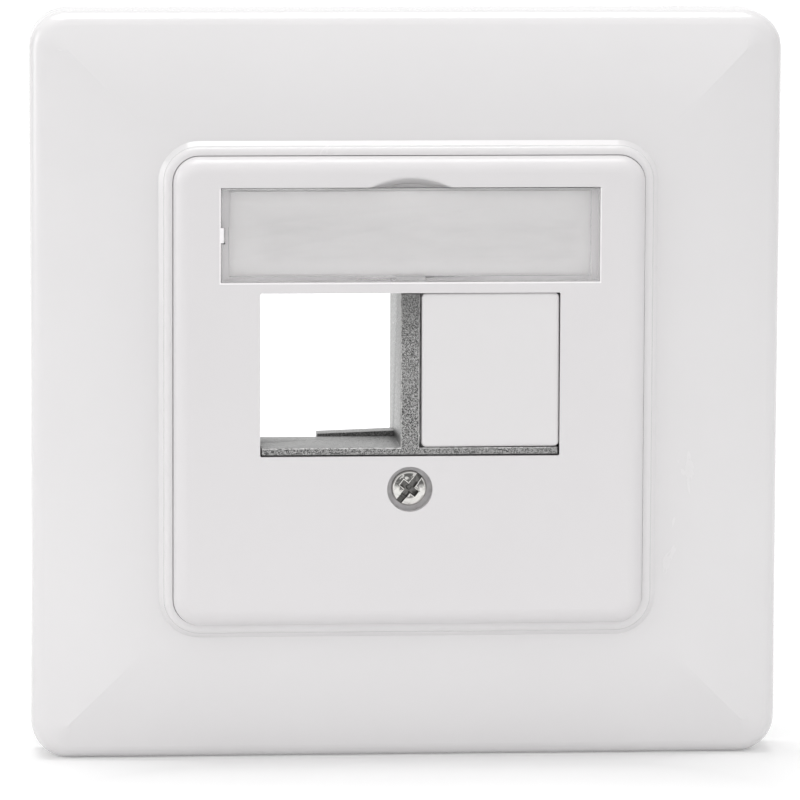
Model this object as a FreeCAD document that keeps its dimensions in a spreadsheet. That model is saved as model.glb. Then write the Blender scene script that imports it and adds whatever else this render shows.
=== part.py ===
"""Keystone faceplate: an 80 mm cover frame and a 50 mm centre plate over a die-cast bracket.

Frame of the part: X to the right, Z up, Y into the wall. The wall is the plane Y = 0 and the
bracket's middle is the origin, so a level above the wall is a distance along -Y.
"""
import FreeCAD, Part
import math
import os
import re
import Sketcher

SIZES = {
    # cover frame
    "frame_size": (80.0, "outer width and height"),
    "frame_corner": (4.0, "radius of the outer corners"),
    "frame_wall": (2.0, "outer wall"),
    "frame_skin": (1.7, "crown over the hollow back"),
    "crown_height": (9.6, "flat part of the crown above the wall"),
    "crown_radius": (31.0, "arc of the crown's slope"),
    "shoulder_angle": (20.0, "slope of the crown at its outer edge, degrees"),
    "edge_round": (2.1, "rounding between the crown and the outer wall"),
    "lip_rise": (1.2, "lip above the crown"),
    "lip_width": (0.95, "lip round the centre plate"),
    "lip_round": (0.7, "outer edge of the lip"),
    "lip_foot": (0.5, "sloped foot of the lip on the crown"),
    "ledge_width": (2.0, "ledge that the centre plate presses on"),
    "ledge_thick": (1.6, "thickness of the ledge"),
    "skirt_wall": (1.5, "wall round the opening, behind the crown"),
    "frame_rib": (1.2, "stiffening ribs in the hollow back"),
    "frame_rib_place": (14.0, "ribs from the middle of each side"),
    # centre plate
    "plate_size": (50.0, "width and height of the centre plate"),
    "plate_corner": (2.8, "corner radius of the centre plate"),
    "plate_gap": (0.07, "gap between the centre plate and the lip"),
    "plate_proud": (2.0, "centre plate above the lip"),
    "plate_depth": (5.2, "centre plate from its face to its rim"),
    "plate_round": (1.7, "rounding of the plate's front edge"),
    "plate_skin": (2.0, "front skin"),
    "plate_wall": (1.6, "side wall"),
    "plate_rib": (1.0, "stiffening ribs behind the skin"),
    "plate_rib_rise": (1.4, "ribs behind the skin"),
    "plate_rib_place": (13.0, "ribs from the middle of the plate"),
    # label window and its tray
    "window_width": (40.0, "label window"),
    "window_tall": (9.9, "label window"),
    "window_lift": (1.1, "window above the ports"),
    "window_gap": (0.07, "clearance round the window"),
    "window_thick": (1.7, "window's rim below the face of the plate"),
    "window_proud": (0.08, "window above the face of the plate"),
    "window_face": (0.8, "clear front of the window"),
    "window_rim": (0.85, "rim of the window at its sides"),
    "window_foot": (0.55, "rim of the window at its foot"),
    "window_brow": (0.3, "rim of the window at its top"),
    "window_round": (0.25, "front edge of the window"),
    "window_drop": (0.03, "play lets the window sit below the middle of its tray"),
    "tray_wall": (0.8, "wall round the label tray"),
    "tray_floor": (1.1, "floor of the label tray"),
    "strip_thick": (0.3, "paper label strip"),
    "strip_gap": (0.15, "strip inside the window's rim"),
    "tab_reach": (0.32, "tab of the plate that enters the window's side"),
    "tab_tall": (1.6, "tab of the plate"),
    "thumb_width": (3.2, "relief in the window's lower rim"),
    "thumb_rise": (0.3, "relief in the window's lower rim"),
    "scoop_radius": (9.4, "finger scoop above the window"),
    "scoop_margin": (2.15, "scoop below the plate's edge"),
    "scoop_depth": (1.5, "scoop into the face"),
    "scoop_slope": (27.0, "slope of the scoop's wall, degrees"),
    "scoop_round": (0.3, "edge of the scoop at the face"),
    # keystone bay of the bracket
    "port_width": (14.85, "one keystone port"),
    "port_tall": (16.6, "one keystone port"),
    "port_level": (2.45, "middle of the ports above the middle of the plate"),
    "divider": (2.0, "wall between the ports"),
    "nose_floor": (0.8, "wall under the ports, at the front"),
    "nose_gap": (0.16, "opening of the plate beside the casting's nose"),
    "nose_slit": (0.12, "opening of the plate above and below the nose"),
    "nose_recess": (0.2, "casting's nose behind the plate's face"),
    "nose_length": (9.0, "floor of the ports, front to back"),
    "nose_edge": (0.16, "worn front edges of the nose"),
    "bay_wall": (1.9, "side walls of the bay"),
    "bay_roof": (1.7, "top wall of the bay"),
    "bay_top": (8.6, "front of the bay's outer walls above the wall"),
    "bay_back": (2.9, "bay behind the wall plane"),
    "catch_drop": (1.35, "latch chamber below the ports' floor"),
    "catch_roof": (0.65, "latch chamber above the ports' roof"),
    "catch_floor": (1.2, "wall under the latch chamber"),
    "tongue_width": (8.2, "catch tongue in each port"),
    "tongue_rise": (0.45, "catch tongue above the port's floor, at its inner end"),
    "tongue_slope": (0.3, "fall of the tongue towards its outer end"),
    # ring plate of the bracket
    "ring_gap": (2.5, "ring plate inside the frame's outer wall"),
    "ring_corner": (5.0, "corner radius of the ring plate"),
    "ring_thick": (2.4, "ring plate"),
    "ring_rim": (1.6, "raised rim of the ring plate"),
    "rim_rise": (0.9, "raised rim of the ring plate"),
    "fixing_pitch": (60.0, "hole spacing of the flush box"),
    "fixing_width": (3.8, "fixing slot"),
    "fixing_length": (7.4, "fixing slot"),
    "web_thick": (1.6, "webs between the bay and the rim"),
    "web_rise": (2.4, "webs above the ring plate"),
    "web_place": (13.0, "webs from the middle of the bay"),
    # screw
    "screw_level": (-10.3, "screw from the middle of the plate"),
    "screw_mouth": (4.84, "recess round the screw's head"),
    "screw_sink": (1.3, "depth of the recess"),
    "screw_seat": (2.1, "screw seat below the face"),
    "head_size": (3.5, "head diameter"),
    "head_gap": (0.12, "clearance round the head"),
    "head_thick": (1.45, "head"),
    "head_round": (0.35, "edge of the head"),
    "shank_size": (2.4, "shank, at the middle of its thread"),
    "shank_gap": (0.06, "clearance round the shank in its thread"),
    "hole_gap": (0.25, "clearance round the shank in the plate"),
    "shank_length": (9.0, "shank below the head"),
    "slot_width": (0.65, "driver slot"),
    "slot_depth": (0.55, "driver slot"),
    "slot_turn": (52.0, "slot above the horizontal, degrees"),
    "cross_size": (2.0, "cross recess, tip to tip"),
    "cross_depth": (1.0, "cross recess"),
    "boss_wall": (2.2, "boss round the screw"),
    "boss_gap": (0.3, "gap between the two bosses"),
    "plate_boss": (1.6, "plate's boss behind the skin"),
    # blank insert
    "blank_width": (14.6, "face of the blank"),
    "blank_tall": (16.38, "face of the blank"),
    "blank_corner": (0.5, "corner radius of the blank"),
    "blank_recess": (0.1, "blank behind the plate's face"),
    "blank_face": (1.6, "front wall of the blank"),
    "blank_step": (0.2, "skirt of the blank inside its face"),
    "blank_wall": (1.1, "skirt of the blank"),
    "blank_round": (0.35, "front edge of the blank"),
    "blank_turn": (0.15, "play lets the blank lean by this, degrees"),
    "blank_drop": (0.06, "play lets the blank sit below the middle of its port"),
    "blank_shift": (0.08, "play lets the blank sit right of the middle of its port"),
}

doc = FreeCAD.newDocument("keystone_faceplate")
sheet = doc.addObject("Spreadsheet::Sheet", "sizes")
for row, (alias, (number, note)) in enumerate(SIZES.items(), 1):
    sheet.set(f"A{row}", alias)
    sheet.set(f"B{row}", str(number))
    sheet.setAlias(f"B{row}", alias)
    sheet.set(f"C{row}", note)
doc.recompute()

# lengths that several pieces share, as formulas of the sizes
FRAME_INSIDE = "(frame_size - 2 * frame_wall)"
RING = f"({FRAME_INSIDE} - 2 * ring_gap)"
SHOULDER = "shoulder_angle * 1 deg"
CROWN_RUN = f"(crown_radius * sin({SHOULDER}) + edge_round * (1 - sin({SHOULDER})))"
SHOULDER_RUN = f"(edge_round * (1 - sin({SHOULDER})))"
SHOULDER_LEVEL = f"(crown_height - crown_radius * (1 - cos({SHOULDER})))"
WALL_RISE = f"({SHOULDER_LEVEL} - edge_round * cos({SHOULDER}))"
LIP_LEVEL = "(crown_height + lip_rise)"
FACE_LEVEL = "(crown_height + lip_rise + plate_proud)"
SEAT_LEVEL = f"({FACE_LEVEL} - plate_depth)"
OPENING = "(plate_size + 2 * plate_gap)"
LEDGE_OPENING = f"({OPENING} - 2 * ledge_width)"
SKIRT = f"({OPENING} + 2 * skirt_wall)"
SKIRT_LEVEL = f"({SEAT_LEVEL} - ledge_thick)"
SKIN_LEVEL = f"({FACE_LEVEL} - plate_skin)"
TRAY_LEVEL = f"({FACE_LEVEL} - window_thick - strip_thick)"
STRIP_LEVEL = f"({TRAY_LEVEL} + strip_thick)"
PORT_FLOOR = "(port_level - port_tall / 2)"
PORT_ROOF = "(port_level + port_tall / 2)"
WINDOW_LEVEL = f"({PORT_ROOF} + window_lift + window_tall / 2)"
WINDOW_FACE = f"({FACE_LEVEL} + window_proud)"
LABEL_LEVEL = f"({WINDOW_LEVEL} + (window_foot - window_brow) / 2)"
PORT_SIDE = "(port_width + divider / 2)"
NOSE_SIDE = "(port_width + divider / 2 - nose_slit)"
NOSE_LEVEL = f"({FACE_LEVEL} - nose_recess)"
CATCH_LEVEL = f"({NOSE_LEVEL} - nose_length)"
BAY_SIDE = f"({PORT_SIDE} + bay_wall)"
BAY_ROOF = f"({PORT_ROOF} + bay_roof)"
BAY_FLOOR = f"({PORT_FLOOR} - catch_drop - catch_floor)"
BOSS_RADIUS = "(shank_size / 2 + boss_wall)"
BOSS_LEVEL = f"({SKIN_LEVEL} - plate_boss)"
BLANK_LEVEL = f"({FACE_LEVEL} - blank_recess)"
BLANK_SIDE = "((port_width + divider) / 2)"
OVERSHOOT = "1"


def formula(text):
    """The same sum with each size read from the sheet."""
    return re.sub(r"[a-z_]+", lambda word: "sizes." + word[0] if word[0] in SIZES else word[0], str(text))


def value(text):
    """What a formula comes to, as a plain number."""
    result = sheet.evalExpression(formula(text))
    return float(getattr(result, "Value", result))


def new_body(label):
    """A body that becomes one piece of the product."""
    body = doc.addObject("PartDesign::Body", label)
    body.Label = label
    return body


def new_sketch(body, name, plane="XZ_Plane", level="0", shift=("0", "0")):
    """A sketch on one of the body's own planes, moved along the plane's normal by a level."""
    sketch = body.newObject("Sketcher::SketchObject", f"{body.Name}_{name}")
    support = next(item for item in body.Origin.OriginFeatures if item.Role == plane)
    sketch.AttachmentSupport = [(support, "")]
    sketch.MapMode = "FlatFace"
    for axis, text in zip("xyz", (*shift, level)):
        sketch.setExpression(f"AttachmentOffset.Base.{axis}", formula(text))
    return sketch


def hold(sketch, geometry, point, across, upward):
    """Tie a point of the sketch's geometry to its place."""
    for kind, text in (("DistanceX", across), ("DistanceY", upward)):
        index = sketch.addConstraint(Sketcher.Constraint(kind, -1, 1, geometry, point, value(text)))
        sketch.setExpression(f"Constraints[{index}]", formula(text))


def tie_radius(sketch, geometry, text):
    """Tie the radius of an arc or a circle to its size."""
    index = sketch.addConstraint(Sketcher.Constraint("Radius", geometry, value(text)))
    sketch.setExpression(f"Constraints[{index}]", formula(text))


def arc_between(start, end, radius):
    """An arc from start to end that turns left for a positive radius and right for a negative one."""
    middle = (start + end) / 2
    chord = end - start
    side = FreeCAD.Vector(-chord.y, chord.x, 0).normalize() * math.copysign(1, radius)
    centre = middle + side * math.sqrt(max(radius ** 2 - chord.Length ** 2 / 4, 0))
    bulge = centre - side * abs(radius)
    return Part.Arc(start, bulge, end)


def draw_outline(sketch, corners):
    """A closed outline. A corner is two formulas, and a third is the radius of the arc that leads to it."""
    points = [FreeCAD.Vector(value(corner[0]), value(corner[1]), 0) for corner in corners]
    first = sketch.GeometryCount
    for number, corner in enumerate(corners):
        start = points[number - 1]
        if len(corner) == 3:
            sketch.addGeometry(arc_between(start, points[number], value(corner[2])), False)
        else:
            sketch.addGeometry(Part.LineSegment(start, points[number]), False)
    count = len(corners)
    ends = []
    for number, corner in enumerate(corners):
        turns_right = len(corner) == 3 and value(corner[2]) < 0
        ends.append((1, 2) if turns_right else (2, 1))
    for number, corner in enumerate(corners):
        geometry = first + number
        following = (number + 1) % count
        sketch.addConstraint(Sketcher.Constraint(
            "Coincident", geometry, ends[number][0], first + following, ends[following][1]))
        hold(sketch, geometry, ends[number][0], corner[0], corner[1])
        if len(corner) == 3:
            tie_radius(sketch, geometry, f"abs({corner[2]})")


def draw_rectangle(sketch, middle, width, tall, radius=None):
    """A rectangle about a middle, with rounded corners where a radius is given."""
    across, upward = middle
    left, right = f"({across} - {width} / 2)", f"({across} + {width} / 2)"
    low, high = f"({upward} - {tall} / 2)", f"({upward} + {tall} / 2)"
    if radius is None:
        draw_outline(sketch, [(left, low), (right, low), (right, high), (left, high)])
        return
    draw_outline(sketch, [
        (f"{left} + {radius}", low), (f"{right} - {radius}", low),
        (right, f"{low} + {radius}", radius), (right, f"{high} - {radius}"),
        (f"{right} - {radius}", high, radius), (f"{left} + {radius}", high),
        (left, f"{high} - {radius}", radius), (left, f"{low} + {radius}"),
        (f"{left} + {radius}", low, radius),
    ][1:])


def draw_circle(sketch, middle, radius):
    """A circle about a middle."""
    centre = FreeCAD.Vector(value(middle[0]), value(middle[1]), 0)
    normal = FreeCAD.Vector(0, 0, 1)
    geometry = sketch.addGeometry(Part.Circle(centre, normal, value(radius)), False)
    hold(sketch, geometry, 3, *middle)
    tie_radius(sketch, geometry, radius)


def add_feature(body, kind, sketch, **sizes):
    """A feature of the body that uses a sketch, with its sizes tied to the sheet."""
    feature = body.newObject(f"PartDesign::{kind}", f"{sketch.Name}_{kind.lower()}")
    feature.Profile = sketch
    feature.Refine = True
    for name, text in sizes.items():
        feature.setExpression(name, formula(text))
    body.Tip = feature
    return feature


def pad(body, sketch, length):
    """Material from the sketch along its normal."""
    return add_feature(body, "Pad", sketch, Length=length)


def pocket(body, sketch, length):
    """A cut from the sketch against its normal."""
    return add_feature(body, "Pocket", sketch, Length=length)


def round_edges(body, name, radius, chosen, kind="Fillet"):
    """Round the edges of the body so far that a rule picks."""
    doc.recompute()
    base = body.Tip
    names = [f"Edge{number}" for number, edge in enumerate(base.Shape.Edges, 1) if chosen(edge)]
    feature = body.newObject(f"PartDesign::{kind}", f"{body.Name}_{name}")
    feature.Base = (base, names)
    feature.setExpression("Radius", formula(radius))
    body.Tip = feature
    return feature


def in_level(edge, level):
    """Whether an edge lies wholly at a level above the wall."""
    box = edge.BoundBox
    return abs(box.YMin + level) < 0.001 and abs(box.YMax + level) < 0.001


def origin_axis(body, role):
    """One of the body's own axes."""
    return next(item for item in body.Origin.OriginFeatures if item.Role == role)


def repeat_round(body, features, count, name):
    """Repeat features about the axis that runs into the wall."""
    pattern = body.newObject("PartDesign::PolarPattern", f"{body.Name}_{name}")
    pattern.Originals = features
    pattern.Axis = (origin_axis(body, "Y_Axis"), [""])
    pattern.Angle = 360
    pattern.Occurrences = count
    pattern.Refine = True
    body.Tip = pattern
    return pattern


def crown_profile(half):
    """The frame's outer half-section, from the wall plane up to the flat of the crown."""
    return [
        (half, "0"),
        (half, f"-{WALL_RISE}"),
        (f"{half} - {SHOULDER_RUN}", f"-{SHOULDER_LEVEL}", "-edge_round"),
        (f"{half} - {CROWN_RUN}", "-crown_height", "-crown_radius"),
    ]


def build_cover_frame():
    """Moulded frame: four crowned sides that meet in mitres, with a lip round the opening."""
    body = new_body("cover_frame")
    half = "frame_size / 2"

    section = new_sketch(body, "section", "XY_Plane")
    right = crown_profile(half)
    left = [(f"-({x})", y, *radius) for x, y, *radius in crown_profile(half)]
    mirrored = [left[3][:2], (*left[2][:2], "-crown_radius"), (*left[1][:2], "-edge_round"), left[0]]
    draw_outline(section, right + mirrored)
    sides = pad(body, section, "frame_size")
    sides.SideType = "Symmetric"

    crossing = new_sketch(body, "crossing", "YZ_Plane")
    outside = f"{half} + {OVERSHOOT}"
    above = f"-(crown_height + {OVERSHOOT})"
    upper = [
        (f"-{WALL_RISE}", outside),
        (f"-{WALL_RISE}", half),
        (f"-{SHOULDER_LEVEL}", f"{half} - {SHOULDER_RUN}", "edge_round"),
        ("-crown_height", f"{half} - {CROWN_RUN}", "crown_radius"),
        (above, f"{half} - {CROWN_RUN}"),
        (above, outside),
    ]
    draw_outline(crossing, upper)
    draw_outline(crossing, [(y, f"-({z})", *[f"-{r}" for r in radius]) for y, z, *radius in upper])
    cut = pocket(body, crossing, f"frame_size + 2 * {OVERSHOOT}")
    cut.SideType = "Symmetric"

    square = new_sketch(body, "corner_cut", level=f"crown_height + {OVERSHOOT}")
    middle = f"{half} - (frame_corner - {OVERSHOOT}) / 2"
    draw_rectangle(square, (middle, middle), f"(frame_corner + {OVERSHOOT})", f"(frame_corner + {OVERSHOOT})")
    corner_cut = pocket(body, square, f"crown_height + 2 * {OVERSHOOT}")

    turned = new_sketch(body, "corner", "XY_Plane", f"{half} - frame_corner", (f"{half} - frame_corner", "0"))
    crown_there = "(crown_height - crown_radius + sqrt(crown_radius ^ 2" \
        f" - ({CROWN_RUN} - frame_corner) ^ 2))"
    draw_outline(turned, [
        ("0", "0"),
        ("frame_corner", "0"),
        ("frame_corner", f"-{WALL_RISE}"),
        (f"frame_corner - {SHOULDER_RUN}", f"-{SHOULDER_LEVEL}", "-edge_round"),
        ("0", f"-{crown_there}", "-crown_radius"),
    ])
    corner = add_feature(body, "Revolution", turned)
    corner.ReferenceAxis = (turned, ["V_Axis"])
    corner.Angle = 90
    corner.Reversed = True
    repeat_round(body, [corner_cut, corner], 4, "corners")

    lip = new_sketch(body, "lip", level=f"crown_height - {OVERSHOOT}")
    lip_size = f"({OPENING} + 2 * lip_width)"
    lip_corner = "(plate_corner + plate_gap + lip_width)"
    draw_rectangle(lip, ("0", "0"), lip_size, lip_size, lip_corner)
    pad(body, lip, f"lip_rise + {OVERSHOOT}")
    round_edges(body, "lip_edge", "lip_round", lambda edge: in_level(edge, value(LIP_LEVEL)))
    foot = new_sketch(body, "lip_foot", level=f"crown_height - {OVERSHOOT}")
    foot_size = f"({lip_size} + 2 * lip_foot + 2 * {OVERSHOOT})"
    draw_rectangle(foot, ("0", "0"), foot_size, foot_size, f"({lip_corner} + lip_foot + {OVERSHOOT})")
    slope = pad(body, foot, f"lip_foot + {OVERSHOOT}")
    slope.TaperAngle = -45

    hollow_level = f"({SHOULDER_LEVEL} - frame_skin)"
    hollow = new_sketch(body, "hollow", level=hollow_level)
    inner_corner = "(frame_corner - frame_wall)"
    draw_rectangle(hollow, ("0", "0"), FRAME_INSIDE, FRAME_INSIDE, inner_corner)
    pocket(body, hollow, hollow_level)

    roof = new_sketch(body, "roof", level="crown_height - frame_skin")
    roof_size = f"(frame_size - 2 * {CROWN_RUN})"
    draw_rectangle(roof, ("0", "0"), roof_size, roof_size, inner_corner)
    vault = body.newObject("PartDesign::SubtractiveLoft", "cover_frame_vault")
    vault.Profile = hollow
    vault.Sections = [roof]
    vault.Ruled = True
    body.Tip = vault

    skirt = new_sketch(body, "skirt", level=SKIRT_LEVEL)
    draw_rectangle(skirt, ("0", "0"), SKIRT, SKIRT, "(plate_corner + plate_gap + skirt_wall)")
    pad(body, skirt, f"crown_height - {SKIRT_LEVEL} - {OVERSHOOT} / 2")

    rib = new_sketch(body, "ribs", level=SKIRT_LEVEL)
    reach = f"({FRAME_INSIDE} - {SKIRT}) / 2"
    for side in ("-", ""):
        place = (f"({FRAME_INSIDE} + {SKIRT}) / 4", f"{side}frame_rib_place")
        draw_rectangle(rib, place, f"({reach} + {OVERSHOOT})", "frame_rib")
    ribs = pad(body, rib, f"{hollow_level} - {SKIRT_LEVEL} + {OVERSHOOT} / 2")
    repeat_round(body, [ribs], 4, "rib_sets")

    opening = new_sketch(body, "opening", level=LIP_LEVEL)
    draw_rectangle(opening, ("0", "0"), OPENING, OPENING, "(plate_corner + plate_gap)")
    pocket(body, opening, f"{LIP_LEVEL} - {SEAT_LEVEL}")
    throat = new_sketch(body, "throat", level=LIP_LEVEL)
    throat_corner = "(plate_corner + plate_gap - ledge_width)"
    draw_rectangle(throat, ("0", "0"), LEDGE_OPENING, LEDGE_OPENING, throat_corner)
    pocket(body, throat, LIP_LEVEL)
    return body


def build_centre_plate():
    """Moulded plate with a label tray, a finger scoop, the port opening and the screw's seat."""
    body = new_body("centre_plate")

    block = new_sketch(body, "block", level=SEAT_LEVEL)
    draw_rectangle(block, ("0", "0"), "plate_size", "plate_size", "plate_corner")
    pad(body, block, "plate_depth")
    round_edges(body, "face_edge", "plate_round", lambda edge: in_level(edge, value(FACE_LEVEL)))

    hollow = new_sketch(body, "hollow", level=SKIN_LEVEL)
    inner = "(plate_size - 2 * plate_wall)"
    draw_rectangle(hollow, ("0", "0"), inner, inner, "(plate_corner - plate_wall)")
    pocket(body, hollow, "plate_depth - plate_skin")

    tray_width = "(window_width + 2 * window_gap)"
    tray_tall = "(window_tall + 2 * window_gap)"
    floor = new_sketch(body, "tray_block", level=f"{TRAY_LEVEL} - tray_floor")
    draw_rectangle(floor, ("0", WINDOW_LEVEL), f"({tray_width} + 2 * tray_wall)",
                   f"({tray_tall} + 2 * tray_wall)")
    pad(body, floor, f"{SKIN_LEVEL} - {TRAY_LEVEL} + tray_floor + {OVERSHOOT} / 2")

    boss = new_sketch(body, "boss", level=BOSS_LEVEL)
    draw_circle(boss, ("0", "screw_level"), BOSS_RADIUS)
    pad(body, boss, f"plate_boss + {OVERSHOOT} / 2")

    ribs = new_sketch(body, "ribs", level=f"{SKIN_LEVEL} - plate_rib_rise")
    rib_foot = "-(plate_size - plate_wall) / 2"
    rib_head = f"({BAY_FLOOR} - {OVERSHOOT})"
    for side in ("-", ""):
        draw_rectangle(ribs, (f"{side}plate_rib_place", f"({rib_foot} + {rib_head}) / 2"), "plate_rib",
                       f"({rib_head} - {rib_foot})")
    draw_rectangle(ribs, ("0", f"({rib_foot} + screw_level - {BOSS_RADIUS} + {OVERSHOOT}) / 2"),
                   "plate_rib", f"(screw_level - {BOSS_RADIUS} + {OVERSHOOT} - {rib_foot})")
    pad(body, ribs, f"plate_rib_rise + {OVERSHOOT} / 2")

    scoop = new_sketch(body, "scoop", level=FACE_LEVEL)
    scoop_top = "(plate_size / 2 - scoop_margin)"
    scoop_middle = f"({scoop_top} - scoop_radius)"
    scoop_foot = f"({scoop_top} - scoop_radius * 2 / 5)"
    half_chord = f"sqrt(scoop_radius ^ 2 - ({scoop_foot} - {scoop_middle}) ^ 2)"
    draw_outline(scoop, [
        (f"-{half_chord}", scoop_foot),
        (half_chord, scoop_foot),
        ("0", scoop_top, "scoop_radius"),
        (f"-{half_chord}", scoop_foot, "scoop_radius"),
    ][1:])
    dish = pocket(body, scoop, "scoop_depth")
    dish.setExpression("TaperAngle", formula("-scoop_slope"))
    round_edges(body, "scoop_edge", "scoop_round", lambda edge: in_level(edge, value(FACE_LEVEL))
                and edge.BoundBox.ZMax > value(scoop_top) - 0.001 and edge.BoundBox.XMax < value(half_chord) + 0.001)

    tray = new_sketch(body, "tray", level=FACE_LEVEL)
    draw_rectangle(tray, ("0", WINDOW_LEVEL), tray_width, tray_tall)
    pocket(body, tray, "window_thick + strip_thick")
    tab = new_sketch(body, "tab", level=TRAY_LEVEL)
    draw_rectangle(tab, (f"-({tray_width} - tab_reach) / 2", WINDOW_LEVEL), "tab_reach", "tab_tall")
    pad(body, tab, "window_thick + strip_thick")

    window = new_sketch(body, "ports", level=FACE_LEVEL)
    low, high = f"({PORT_FLOOR} - nose_floor - nose_slit)", f"({PORT_ROOF} - nose_slit)"
    draw_rectangle(window, ("0", f"({low} + {high}) / 2"), f"(2 * ({NOSE_SIDE} + nose_gap))",
                   f"({high} - {low})", "nose_gap")
    pocket(body, window, f"plate_skin + {OVERSHOOT}")

    seat = new_sketch(body, "screw_seat", "XY_Plane", "screw_level")
    head_hole = "(head_size / 2 + head_gap)"
    draw_outline(seat, [
        ("0", f"-{FACE_LEVEL}"),
        ("0", f"-({BOSS_LEVEL} - {OVERSHOOT})"),
        ("shank_size / 2 + hole_gap", f"-({BOSS_LEVEL} - {OVERSHOOT})"),
        ("shank_size / 2 + hole_gap", f"-({FACE_LEVEL} - screw_seat)"),
        (head_hole, f"-({FACE_LEVEL} - screw_seat)"),
        (head_hole, f"-({FACE_LEVEL} - screw_sink)"),
        ("screw_mouth / 2", f"-({FACE_LEVEL} - screw_sink)"),
        ("screw_mouth / 2", f"-{FACE_LEVEL}"),
    ])
    bore = add_feature(body, "Groove", seat)
    bore.ReferenceAxis = (seat, ["V_Axis"])
    bore.Angle = 360
    return body


def build_label_window():
    """Clear moulded cap that clips into the tray over the label strip."""
    body = new_body("label_window")
    middle = ("0", WINDOW_LEVEL)
    block = new_sketch(body, "block", level=STRIP_LEVEL)
    draw_rectangle(block, middle, "window_width", "window_tall")
    pad(body, block, "window_thick + window_proud")
    round_edges(body, "edge", "window_round", lambda edge: in_level(edge, value(WINDOW_FACE)))

    hollow = new_sketch(body, "hollow", level=f"{WINDOW_FACE} - window_face")
    draw_rectangle(hollow, ("0", LABEL_LEVEL), "(window_width - 2 * window_rim)",
                   "(window_tall - window_foot - window_brow)")
    pocket(body, hollow, "window_thick + window_proud - window_face")

    notch = new_sketch(body, "notch", level=WINDOW_FACE)
    notch_size = "(tab_reach + window_gap)"
    draw_rectangle(notch, (f"-(window_width - {notch_size}) / 2", WINDOW_LEVEL), notch_size,
                   "(tab_tall + 2 * window_gap)")
    pocket(body, notch, "window_thick + window_proud")

    thumb = new_sketch(body, "thumb", level=f"{WINDOW_FACE} - window_face")
    foot = f"({WINDOW_LEVEL} - window_tall / 2)"
    top = f"({foot} + window_foot - thumb_rise / 4)"
    draw_outline(thumb, [
        ("-thumb_width / 2", f"{top} - thumb_rise"),
        ("thumb_width / 2", f"{top} - thumb_rise"),
        ("thumb_width / 2", top),
        ("-thumb_width / 2", top),
    ])
    pocket(body, thumb, "window_thick + window_proud - window_face")
    body.setExpression("Placement.Base.z", formula("-window_drop"))
    return body


def build_label_strip():
    """Paper strip that lies on the floor of the tray, inside the window's rim."""
    body = new_body("label_strip")
    sheet_of_paper = new_sketch(body, "sheet", level=TRAY_LEVEL)
    draw_rectangle(sheet_of_paper, ("0", LABEL_LEVEL), "(window_width - 2 * (window_rim + strip_gap))",
                   "(window_tall - window_foot - window_brow - 2 * strip_gap)")
    pad(body, sheet_of_paper, "strip_thick")
    return body


def build_centre_screw():
    """Screw with a slot and a cross recess, which draws the plate towards the bracket."""
    body = new_body("centre_screw")
    seat_level = f"({FACE_LEVEL} - screw_seat)"
    head_level = f"({seat_level} + head_thick)"
    turned = new_sketch(body, "turned", "XY_Plane", "screw_level")
    tip_level = f"({seat_level} - shank_length)"
    draw_outline(turned, [
        ("0", f"-{head_level}"),
        ("0", f"-{tip_level}"),
        ("shank_size / 3", f"-{tip_level}"),
        ("shank_size / 2", f"-({tip_level} + shank_size / 6)"),
        ("shank_size / 2", f"-{seat_level}"),
        ("head_size / 2", f"-{seat_level}"),
        ("head_size / 2", f"-({head_level} - head_round)"),
        ("head_size / 2 - head_round", f"-{head_level}", "-head_round"),
    ])
    solid = add_feature(body, "Revolution", turned)
    solid.ReferenceAxis = (turned, ["V_Axis"])
    solid.Angle = 360

    slot = new_sketch(body, "slot", level=head_level, shift=("0", "screw_level"))
    draw_rectangle(slot, ("0", "0"), f"(head_size + {OVERSHOOT})", "slot_width")
    slot.setExpression("AttachmentOffset.Rotation.Angle", formula("slot_turn * 1 deg"))
    pocket(body, slot, "slot_depth")

    for number, turn in enumerate(("0 deg", "90 deg"), 1):
        arm = new_sketch(body, f"cross_{number}", level=head_level, shift=("0", "screw_level"))
        draw_rectangle(arm, ("0", "0"), "cross_size", "slot_width")
        arm.setExpression("AttachmentOffset.Rotation.Angle", formula(f"slot_turn * 1 deg + {turn}"))
        pocket(body, arm, "cross_depth")
    return body


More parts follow.
